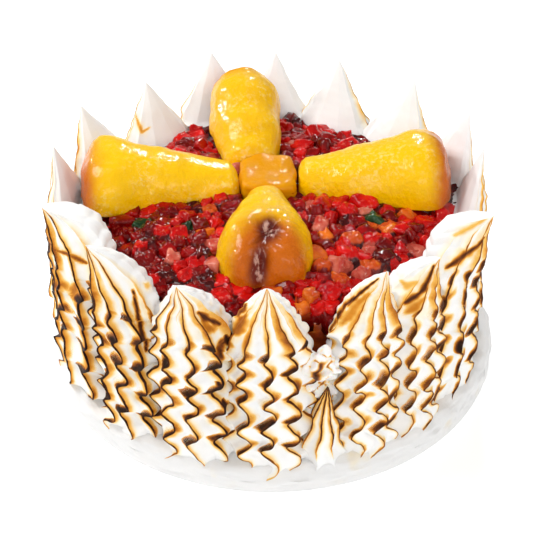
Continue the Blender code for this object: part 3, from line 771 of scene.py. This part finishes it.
def ridge_gaps(points):
    """The distance over the surface from one crest to the next, at each point."""
    rows = points.shape[0]
    lengths = np.linalg.norm(np.roll(points, -1, axis=1) - points, axis=-1)
    length = lengths.reshape(rows, -1, len(COLUMN_OFFSETS)).sum(axis=2)
    share = np.array(COLUMN_OFFSETS)[None, None, :]
    before = (length + np.roll(length, 1, axis=1)) / 2
    after = (length + np.roll(length, -1, axis=1)) / 2
    gap = np.where(share < 0.5, before[:, :, None], after[:, :, None])
    return gap.reshape(rows, -1) * 0.94


def build_rosette(finish):
    """The small rosette in the gap: straight scorched ridges that meet in one low tip."""
    rows, columns = ROSETTE_ROWS, ROSETTE_RIDGES * len(COLUMN_OFFSETS)
    crest = crest_columns(ROSETTE_RIDGES)
    turns = 2 * np.pi * (crest + 0.42) / ROSETTE_RIDGES - np.pi
    share = np.linspace(0, LAST_RING, rows)[:, None]
    z = ROSETTE_BASE + (ROSETTE_TIP - ROSETTE_BASE) * share
    swell = (1 - share) ** 0.85
    centre = ROSETTE_TIP_RADIUS - ROSETTE_LEAN * (1 - share)
    off_crest = 2 * np.abs(crest - np.round(crest))
    star = 1 - 0.22 * np.sin(np.pi / 2 * off_crest**0.85)[None, :]
    x = centre + ROSETTE_HALF_SIZE[0] * swell * star * np.cos(turns)[None, :]
    y = ROSETTE_HALF_SIZE[1] * swell * star * np.sin(turns)[None, :]
    y = y + 0.0007 * np.sin(share * 17) * (1 - share)
    angle = math.radians(ROSETTE_MIDDLE)
    points = roughen(np.stack([*turned(x, y, angle), z + 0 * x], axis=-1), 31, np.full((rows, 1), 0.5))
    tip = (*turned(ROSETTE_TIP_RADIUS, 0, angle), ROSETTE_TIP)
    made = skin("small_rosette", points, tip, finish, "meringue", "rosette_small")
    give(made, "crest", corner_values(rows, crest, ROSETTE_RIDGES), "CORNER")
    low = clamp((z - 0.013) / 0.012) + 0 * x
    gap = ROSETTE_GAP * swell
    flat = np.zeros((rows, columns))
    band = clamp(1 - np.abs(crest - np.round(crest))[None, :] * gap / 0.0016) * low
    unused = ("left", "right", "scorch", "cycle", "cycle_right", "pitch", "deep", "number")
    values = dict.fromkeys(unused, flat)
    values.update(line=0.80 * low, thick=flat + 0.00040, gap=gap + flat, band_left=0.42 * band,
                  band_right=0.22 * band)
    give_grids(made, values)


def build_torn():
    """The torn, toasted meringue that closes the gap over the rosette."""
    made = Finish("torn_meringue", Roughness=0.55, Subsurface_Weight=0.15, Subsurface_Scale=0.002)
    burn = made.plus(made.attribute("burn"), made.stretch(made.noise(300, 3, 0.6), 0.56, 0.80, 0.0, 0.30))
    made.colour(made.ramp(burn, BURN_STOPS))
    made.bump(made.noise(520, 3), 0.5, 0.0006)
    rows, columns = 90, 110
    tilt = np.linspace(0.12, np.pi - 0.12, rows)[:, None]
    unit = ring_points(np.sin(tilt), around(columns), -np.cos(tilt))
    bulk = unit * TORN_HALF_SIZE
    broad, fine = ripple(bulk, 0.0060, 310), ripple(bulk, 0.0026, 311)
    torn = np.abs(broad) * 0.0020 + fine * 0.0004 - 0.0006
    points = bulk + unit * torn[..., None]
    burn = np.clip(0.60 - 3.2 * np.abs(broad), 0, 0.60) * np.clip(0.4 + ripple(bulk, 0.0045, 313), 0.15, 1)
    points[..., 0] -= 0.0042 * clamp((0.0100 - points[..., 2]) / 0.0030)
    below = points[..., 2] - 0.0122
    bend = -0.0030 + 70 * (below + 0.0030) ** 2
    hollow = np.exp(-(((points[..., 1] - bend) / 0.0014) ** 2)) * clamp(2 - np.abs(below) / 0.0024)
    burn = np.maximum(burn, 0.72 * hollow * (bulk[..., 0] > 0))
    angle = math.radians(TORN_DIRECTION)
    middle = np.array((*turned(TORN_RADIUS, 0, angle), TORN_HEIGHT))
    placed = middle + points @ np.array(Matrix.Rotation(angle, 3, "Z")).T
    tip = middle + (0, 0, TORN_HALF_SIZE[2])
    bit = skin("torn_meringue", placed, tip, made.material, "meringue", "rosette_small")
    give(bit, "burn", np.append(burn.ravel(), 0.1))


def build_foot(finish):
    """The smooth band under the strokes, spread with a palette knife."""
    fine = []
    for (r0, z0), (r1, z1) in zip(FOOT_PROFILE, FOOT_PROFILE[1:]):
        for share in np.linspace(0, 1, 5, endpoint=False):
            fine.append((r0 + (r1 - r0) * share, z0 + (z1 - z0) * share))
    fine.append(FOOT_PROFILE[-1])
    rows, columns = len(fine), 420
    turn = around(columns)
    radius = np.array([r for r, _ in fine])[:, None]
    z = np.array([z for _, z in fine])[:, None] + 0 * turn
    points = ring_points(radius, turn, z)
    flat = np.stack([points[..., 0], points[..., 1], points[..., 2] * 2.5], axis=-1)
    soft = 0.0007 * ripple(flat, 0.022, 5) + 0.00025 * ripple(flat, 0.007, 6)
    loose = clamp(z / 0.003)
    scale = 1 + (soft * loose - 0.0006 * loose) / radius
    points[..., :2] *= np.minimum(scale, FOOT_RADIUS / radius)[..., None]
    points[..., 2] += np.where(z > 0.006, 0.0006 * ripple(flat, 0.012, 7), 0)
    faces = []
    for row in range(rows):
        faces += ring_faces(row * columns, (row + 1) % rows * columns, columns)
    made = piece("foot_band", points, faces, finish, "meringue", "meringue_foot")
    give(made, "tint", clamp(z / 0.008) * 0.10)


# Fruit

def bed_height(radius):
    """The height of the fruit bed at this radius."""
    return np.interp(-np.asarray(radius), [-value for value in BED_RADII], BED_HEIGHTS)


def footprint(pear, x, y):
    """How far a point in plan lies outside a pear. It is negative inside."""
    neck, end = np.array(pear.neck), np.array(pear.end)
    length = float(np.linalg.norm(end - neck))
    along = (end - neck) / length
    offset = np.array((x, y)) - neck
    share = float(offset @ along) / length
    beside = abs(float(offset @ np.array((-along[1], along[0]))))
    half_width = float(np.interp(share, PEAR_STATIONS, pear.half_widths)) * pear.scale
    return max(beside - half_width, -share * length, (share - 1) * length)


def under_fruit(x, y):
    """How far a point lies outside the nearest pear or the centre block."""
    outside = min(footprint(pear, x, y) for pear in PEARS)
    block = max(CENTRE_LOW[0] - x, x - CENTRE_HIGH[0], CENTRE_LOW[1] - y, y - CENTRE_HIGH[1])
    return min(outside, block)


def meringue_limit(x, y):
    """The radius at which the meringue stands at the height of the fruit, in the direction of this point."""
    degrees = math.degrees(math.atan2(y, x)) % 360
    for stroke in STROKES:
        if stroke.start <= degrees < stroke.end or stroke.start <= degrees + 360 < stroke.end:
            return stroke.fruit_radius
    return CORE_RADIUS


Die = namedtuple("Die", "x y z size draw angle kind")
# Each kind's name, its share of the dice, its three colours from dark to bright, and its colour under jelly
DIE_KINDS = (
    ("plum", 0.06, (0.060, 0.001, 0.001), (0.15, 0.004, 0.003), (0.38, 0.08, 0.05), (0.050, 0.0, 0.0)),
    ("deep_red", 0.31, (0.13, 0.0, 0.0), (0.34, 0.001, 0.001), (0.70, 0.10, 0.06), (0.17, 0.0, 0.0)),
    ("bright_red", 0.44, (0.40, 0.001, 0.001), (0.68, 0.006, 0.004), (0.92, 0.22, 0.16), (0.50, 0.002, 0.001)),
    ("orange", 0.11, (0.50, 0.045, 0.003), (0.76, 0.17, 0.012), (0.90, 0.48, 0.20), (0.54, 0.065, 0.005)),
    ("pink", 0.08, (0.44, 0.030, 0.018), (0.64, 0.17, 0.11), (0.88, 0.54, 0.42), (0.42, 0.060, 0.036)),
    ("green", 0.0, (0.010, 0.030, 0.010), (0.04, 0.10, 0.035), (0.20, 0.28, 0.14), (0.016, 0.040, 0.010)),
)
# Points in plan near which the photo shows a die of this kind
DIE_HINTS = ((-0.0550, -0.0165, "green"), (-0.0350, -0.0225, "green"), (0.0440, -0.0110, "green"),
             (0.0100, -0.0650, "orange"), (0.0165, -0.0640, "orange"))
# How many times a place for a die is tried, and from which try on the dice may stand closer
DICE_TRIES = 26000
CLOSE_TRIES = 18000


def dice_places():
    """The dice, packed closely over the open jelly."""
    chance = random.Random(29)
    limits = np.cumsum([kind[1] for kind in DIE_KINDS])
    dice = []
    for attempt in range(DICE_TRIES):
        reach = 0.0760 * math.sqrt(chance.random())
        bearing = chance.uniform(0, 2 * math.pi)
        x, y = reach * math.cos(bearing), reach * math.sin(bearing)
        size = chance.uniform(0.0056, 0.0090)
        if reach > meringue_limit(x, y) - 0.0005 or under_fruit(x, y) < 0.0008:
            continue
        spacing = 0.84 if attempt < CLOSE_TRIES else 0.72
        if any(math.hypot(x - other.x, y - other.y) < spacing * (size + other.size) / 2 for other in dice):
            continue
        rise = chance.uniform(-0.0004, 0.0020)
        draw = chance.random() ** (0.65 if x > 0 > y else 1.4)
        kind = DIE_KINDS[min(int(np.searchsorted(limits, draw)), len(DIE_KINDS) - 1)][0]
        angle = chance.uniform(0, math.pi)
        dice.append(Die(x, y, float(bed_height(reach)) + rise, size, draw, angle, kind))
    for x, y, kind in DIE_HINTS:
        nearest = min(range(len(dice)), key=lambda i: math.hypot(dice[i].x - x, dice[i].y - y))
        dice[nearest] = dice[nearest]._replace(kind=kind, size=min(dice[nearest].size, 0.0068))
    return dice


def build_dice(dice):
    """One piece for each kind of die."""
    unit, faces = soft_cube(4, 9)
    unit = unit / 2
    kinds = {}
    for index, die in enumerate(dice):
        chance = np.random.default_rng(1000 + index)
        sides = die.size * chance.uniform((0.85, 0.75, 0.7), (1.15, 1.05, 0.95))
        turn = Matrix.Rotation(die.angle, 3, "Z") @ Matrix.Rotation(chance.normal(0, 0.33), 3, "X")
        turn = np.array(turn @ Matrix.Rotation(chance.normal(0, 0.33), 3, "Y"))
        shaped = unit * sides
        shaped = shaped + shaped @ chance.normal(0, 0.08, (3, 3))
        uneven = [ripple(unit * 0.01 + 0.1 * index, 0.006, axis + 3) for axis in range(3)]
        shaped = shaped + 0.0004 * np.stack(uneven, axis=1)
        kinds.setdefault(die.kind, []).append(shaped @ turn.T + (die.x, die.y, die.z))
    for name, _, deep, bright, pale, _ in DIE_KINDS:
        lumps = kinds[name]
        joined = [[corner + len(unit) * n for corner in face] for n in range(len(lumps)) for face in faces]
        piece(f"dice_{name}", np.vstack(lumps), joined, glazed_finish(f"fruit_{name}", deep, bright, pale),
              "jellied_fruit", "fruit_topping")


def jelly_over(top, dice):
    """The jelly's height, the colour of the die under it, and how surely a die lies there, at each point."""
    level = bed_height(np.linalg.norm(top[..., :2], axis=-1)) + 0.0016
    film = np.array(level)
    nearest = np.full(level.shape, 9.0)
    seen = np.zeros((*level.shape, 3))
    under = {kind[0]: kind[5] for kind in DIE_KINDS}
    for die in dice:
        east, north = (top[..., 0] - die.x) / die.size, (top[..., 1] - die.y) / die.size
        along, aside = turned(east, north, -die.angle)
        square = (along**4 + aside**4) ** 0.25
        cover = die.z + 0.40 * die.size + 0.0008 - 0.0030 * (die.draw * 7 % 1.0)
        near = square < 1
        lift = np.exp(-((square[near] / 0.57) ** 6)) * np.maximum(cover - level[near], 0)
        film[near] = np.maximum(film[near], level[near] + lift)
        closer = square < nearest
        seen[closer] = under[die.kind]
        nearest = np.minimum(nearest, square)
    return film, seen, clamp((0.60 - nearest) / 0.18)


def build_jelly(dice):
    """The jelly round and over the dice, in small hollows and swells, out to the meringue."""
    rings, columns = 170, 460
    turn = around(columns)
    limits = np.array([meringue_limit(math.cos(angle), math.sin(angle)) for angle in turn])
    limits = np.minimum(limits + np.where(limits > CORE_RADIUS, 0.0045, 0.0), 0.084)
    share = np.linspace(0.004, 1, rings)[:, None]
    radius = share * limits
    top = ring_points(radius, turn, 0 * radius)
    film, seen, sure = jelly_over(top, dice)
    top[..., 2] = film + 0.0005 * ripple(top, 0.007, 71) + 0.0003 * ripple(top, 0.003, 72)
    skirt = np.array(top[-1])
    skirt[:, 2] = 0.0560
    middle = [[0, 0, float(bed_height(0)) + 0.0012]]
    points = np.concatenate([skirt, top[::-1].reshape(-1, 3), middle])
    made = piece("jelly", points, tube_faces(rings + 1, columns), jelly_finish(), "jellied_fruit",
                 "fruit_topping")
    give(made, "sure", np.concatenate([np.zeros(columns), sure[::-1].ravel(), [0]]))
    colours = np.concatenate([np.zeros((columns, 3)), seen[::-1].reshape(-1, 3), np.zeros((1, 3))])
    layer = made.data.attributes.new("seen", "FLOAT_COLOR", "POINT")
    colours = np.column_stack([colours, np.ones(len(colours))])
    layer.data.foreach_set("color", colours.astype(np.float32).ravel())


def smooth_profile(shares, values, at):
    """A smooth curve through the stations."""
    shares, values = np.array(shares), np.array(values)
    slopes = np.gradient(values, shares)
    index = np.clip(np.searchsorted(shares, at, side="right") - 1, 0, len(shares) - 2)
    width = shares[index + 1] - shares[index]
    t = clamp((at - shares[index]) / width)
    a, b = values[index], values[index + 1]
    return (a * (1 + 2 * t) * (1 - t) ** 2 + slopes[index] * width * t * (1 - t) ** 2
            + b * t * t * (3 - 2 * t) - slopes[index + 1] * width * t * t * (1 - t))


def bump_at(points, centre, radii):
    """A soft bump: 1 at the centre, falling to 0 over these radii."""
    away = ((points - np.array(centre)) / np.array(radii)) ** 2
    return np.exp(-away.sum(axis=-1))


def pear_points(pear, rows, columns):
    """Points of a pear half: arched sections from the neck to the round end, over a flat cut side."""
    neck = np.array((*pear.neck, PEAR_SEAT))
    end = np.array((*pear.end, PEAR_SEAT + pear.lift))
    along = (end - neck) / np.linalg.norm(end - neck)
    across = np.array((-along[1], along[0], 0.0))
    length = float(np.linalg.norm(end - neck))
    start = np.linspace(0, 1, 10, endpoint=False)
    stop = np.linspace(0, 1, 16)
    share = np.concatenate([0.05 * start**2, np.linspace(0.05, 0.92, rows - 26, endpoint=False),
                            0.92 + 0.08 * np.sin(stop * np.pi / 2)])
    stations = (*PEAR_STATIONS[:-2], 0.93, 1.0)
    widths = smooth_profile(stations, (*pear.half_widths[:-2], pear.half_widths[-3] * 0.86, 0.0002), share)
    heights = smooth_profile(stations, (*pear.heights[:-2], pear.heights[-3] * 0.86, 0.0002), share)
    round_end = np.sqrt(clamp(1 - ((share - PEAR_ROUND) / (1 - PEAR_ROUND)) ** 2))
    full_width = np.interp(PEAR_ROUND, PEAR_STATIONS, pear.half_widths)
    full_height = np.interp(PEAR_ROUND, PEAR_STATIONS, pear.heights)
    widths = np.where(share > PEAR_ROUND, full_width * round_end, widths)
    heights = np.where(share > PEAR_ROUND, full_height * round_end, heights)
    neck_round = clamp(share / 0.05) ** 0.35
    widths, heights = widths * (0.55 + 0.45 * neck_round), heights * (0.45 + 0.55 * neck_round)
    turn = around(columns)
    arch = np.sin(turn)
    sideways = np.sign(np.cos(turn)) * np.abs(np.cos(turn)) ** 0.9
    rise = np.where(arch > 0, np.abs(arch) ** 0.95, -0.06 * np.abs(arch) ** 0.3)
    centre = neck + np.outer(share * length, along)
    points = (centre[:, None, :] + across * (widths[:, None] * sideways * pear.scale)[..., None]
              + np.array((0, 0, 1.0)) * (heights[:, None] * rise * pear.scale)[..., None])
    return points, share


def calyx_end(points):
    """The front pear's round end: its folded hollow with lips, how dark that is, and the brown round it."""
    top = bump_at(points, (-0.0005, -0.0440, 0.0890), (0.0056, 0.0080, 0.0090))
    cleft = bump_at(points, (-0.0048, -0.0560, 0.0795), (0.0048, 0.0085, 0.0100))
    low = bump_at(points, (-0.0060, -0.0625, 0.0740), (0.0050, 0.0100, 0.0080))
    folds = 1 + 0.22 * np.sin(np.arctan2(points[..., 1] + 0.0480, points[..., 0] + 0.0015) * 7)
    relief = -0.0066 * clamp(top + 0.9 * cleft) * folds
    for east in (-0.0120, 0.0095):
        relief += 0.0018 * bump_at(points, (east, -0.0510, 0.0790), (0.008, 0.010, 0.010))
    calyx = clamp(1.25 * top + 0.85 * cleft + 0.40 * low)
    beside = bump_at(points, (-0.001, -0.0510, 0.083), (0.0135, 0.0170, 0.0170))
    below = bump_at(points, (-0.001, -0.062, 0.074), (0.022, 0.014, 0.012))
    return relief, calyx, clamp(beside * 1.3 + 0.7 * below)


def build_pear(pear, finish):
    """One pear half, with its own dents and browning."""
    rows, columns = 110, 96
    points, share = pear_points(pear, rows, columns)
    seed = sum(map(ord, pear.name))
    out = points - points.mean(axis=(0, 1))
    out /= np.linalg.norm(out, axis=-1, keepdims=True)
    soft = np.zeros(points.shape[:-1])
    for step, (size, length) in enumerate(((0.0006, 0.024), (0.0002, 0.009), (0.0001, 0.0035))):
        soft += size * ripple(points, length, seed + step)
    brown = clamp((share - 0.74) / 0.24)[:, None] ** 1.5 * 0.60 + 0 * points[..., 0]
    calyx = np.zeros(points.shape[:-1])
    if pear.name == "pear_left":
        soft += 0.0032 * bump_at(points, (-0.070, 0.024, 0.088), (0.009, 0.009, 0.010))
        brown = brown * 1.1 + 0.35 * bump_at(points, (-0.078, 0.000, 0.080), (0.010, 0.020, 0.016))
    if pear.name == "pear_right":
        soft += 0.0016 * bump_at(points, (0.060, 0.028, 0.088), (0.009, 0.009, 0.012))
        brown = brown * 2.3
    if pear.name == "pear_back":
        brown = brown + 0.28
    if pear.name == "pear_front":
        relief, calyx, brown = calyx_end(points)
        soft += relief
    points = points + out * soft[..., None]
    points[..., 2] = np.minimum(points[..., 2], TALLEST)
    tip = points[-1].mean(axis=0)
    made = skin(f"{pear.name}_half", points, tip, finish, "poached_pear", pear.name)
    give_grids(made, {"brown": brown, "calyx": calyx})


def build_centre(finish):
    """The block in the middle of the cross, with a sagging top."""
    points, faces = soft_cube(22, 4.5)
    low, high = np.array(CENTRE_LOW), np.array(CENTRE_HIGH)
    half = np.array((*(high - low) / 2 + (0, 0.001), 0.0055))
    middle = np.array((*(low + high) / 2, PEAR_SEAT + 0.0052))
    placed = middle + points * half
    placed[:, 2] -= 0.0022 * (1 - points[:, 1] ** 2) * (points[:, 2] > 0)
    for axis in range(3):
        soft = 0.0004 * ripple(placed, 0.012, 90 + axis) + 0.00012 * ripple(placed, 0.004, 95 + axis)
        placed[:, axis] += soft
    made = piece("centre_block", placed, faces, finish, "glazed_pear_centre", "pear_centre")
    give(made, "brown", np.full(len(placed), 0.25))
    give(made, "calyx", np.zeros(len(placed)))


def build_core(finish):
    """The side of the cake inside, slightly uneven."""
    rows, columns = 40, 240
    points = ring_points(CORE_RADIUS, around(columns), np.linspace(0.0005, CORE_TOP, rows)[:, None])
    bumps = 0.0009 * ripple(points, 0.008, 55) + 0.0005 * ripple(points, 0.0035, 56)
    points[..., :2] *= (1 + bumps / CORE_RADIUS)[..., None]
    skin("cake_side", points, (0, 0, CORE_TOP), finish, "fruit_core", "cake_core")


# Studio

def area_light(name, place, aim_height, size, power):
    """A white lamp that looks at the cake's axis at this height."""
    lamp = bpy.data.lights.new(name, "AREA")
    lamp.shape = "RECTANGLE"
    lamp.size, lamp.size_y = size
    lamp.energy = power
    made = add_object(name, lamp)
    made.location = place
    made.rotation_euler = (Vector((0, 0, aim_height)) - Vector(place)).to_track_quat("-Z", "Y").to_euler()


def build_floor():
    """A plain square floor, 6 m wide."""
    floor_mesh = bpy.data.meshes.new("floor")
    floor_mesh.from_pydata([(-3, -3, 0), (3, -3, 0), (3, 3, 0), (-3, 3, 0)], [], [(0, 1, 2, 3)])
    floor_mesh.materials.append(floor_finish())
    floor = add_object("floor", floor_mesh)


def build_world():
    """White light from all sides, stronger from the photo's side of the cake."""
    world = bpy.data.worlds.new("studio")
    bpy.context.scene.world = world
    world.use_nodes = True
    tree = world.node_tree
    background = tree.nodes["Background"]
    background.inputs[0].default_value = (1, 1, 1, 1)
    apart = tree.nodes.new("ShaderNodeSeparateXYZ")
    tree.links.new(tree.nodes.new("ShaderNodeTexCoord").outputs["Generated"], apart.inputs[0])
    fade = tree.nodes.new("ShaderNodeMapRange")
    for socket, number in zip(fade.inputs, (0.0, -0.3, 0.4, 0.64, 0.22)):
        socket.default_value = number
    tree.links.new(apart.outputs["Y"], fade.inputs[0])
    tree.links.new(fade.outputs[0], background.inputs[1])


def build_studio():
    build_floor()
    build_world()
    area_light("key", (-0.50, 0.05, 0.75), 0.06, (0.30, 0.30), 3.5)
    area_light("right", (0.62, -0.25, 0.42), 0.06, (0.25, 0.50), 0.9)
    area_light("glint", (-0.60, 0.50, 0.40), 0.08, (0.07, 0.07), 2.4)
    area_light("far_glint", (0.12, 0.80, 0.62), 0.08, (0.09, 0.09), 3.0)
    area_light("front", (0.05, -0.75, 0.55), 0.04, (0.60, 0.30), 1.8)


def build_camera():
    """The photo's view, down onto the side with the rosette."""
    camera = bpy.data.cameras.new("camera")
    camera.sensor_width = 36
    camera.lens = FOCAL_PIXELS / PHOTO_SIZE[0] * camera.sensor_width
    made = add_object("camera", camera)
    away = Vector(PHOTO_SIDE)
    made.location = Vector(CAMERA_TARGET) + away * CAMERA_DISTANCE
    made.rotation_euler = (-away).to_track_quat("-Z", "Y").to_euler()
    bpy.context.scene.camera = made
    bpy.context.scene.view_settings.view_transform = "Standard"
    bpy.context.scene.view_settings.look = "None"


def main():
    torched = meringue_finish()
    for number, stroke in enumerate(STROKES, 1):
        build_stroke(number, stroke, torched)
    build_rosette(torched)
    build_torn()
    build_foot(plain_meringue_finish())
    dice = dice_places()
    build_jelly(dice)
    build_dice(dice)
    yellow = pear_finish("poached_pear", base=(0.92, 0.53, 0.0), pale=(0.97, 0.75, 0.22),
                         brown=(0.56, 0.12, 0.002), coat=0.65, relief=0.85)
    for pear in PEARS:
        build_pear(pear, yellow)
    build_centre(pear_finish("glazed_centre", base=(0.70, 0.28, 0.0), pale=(0.76, 0.35, 0.0),
                             brown=(0.56, 0.18, 0.001), coat=0.40, relief=0.30))
    build_core(core_finish())
    build_studio()
    build_camera()


main()
bpy.context.view_layer.update()
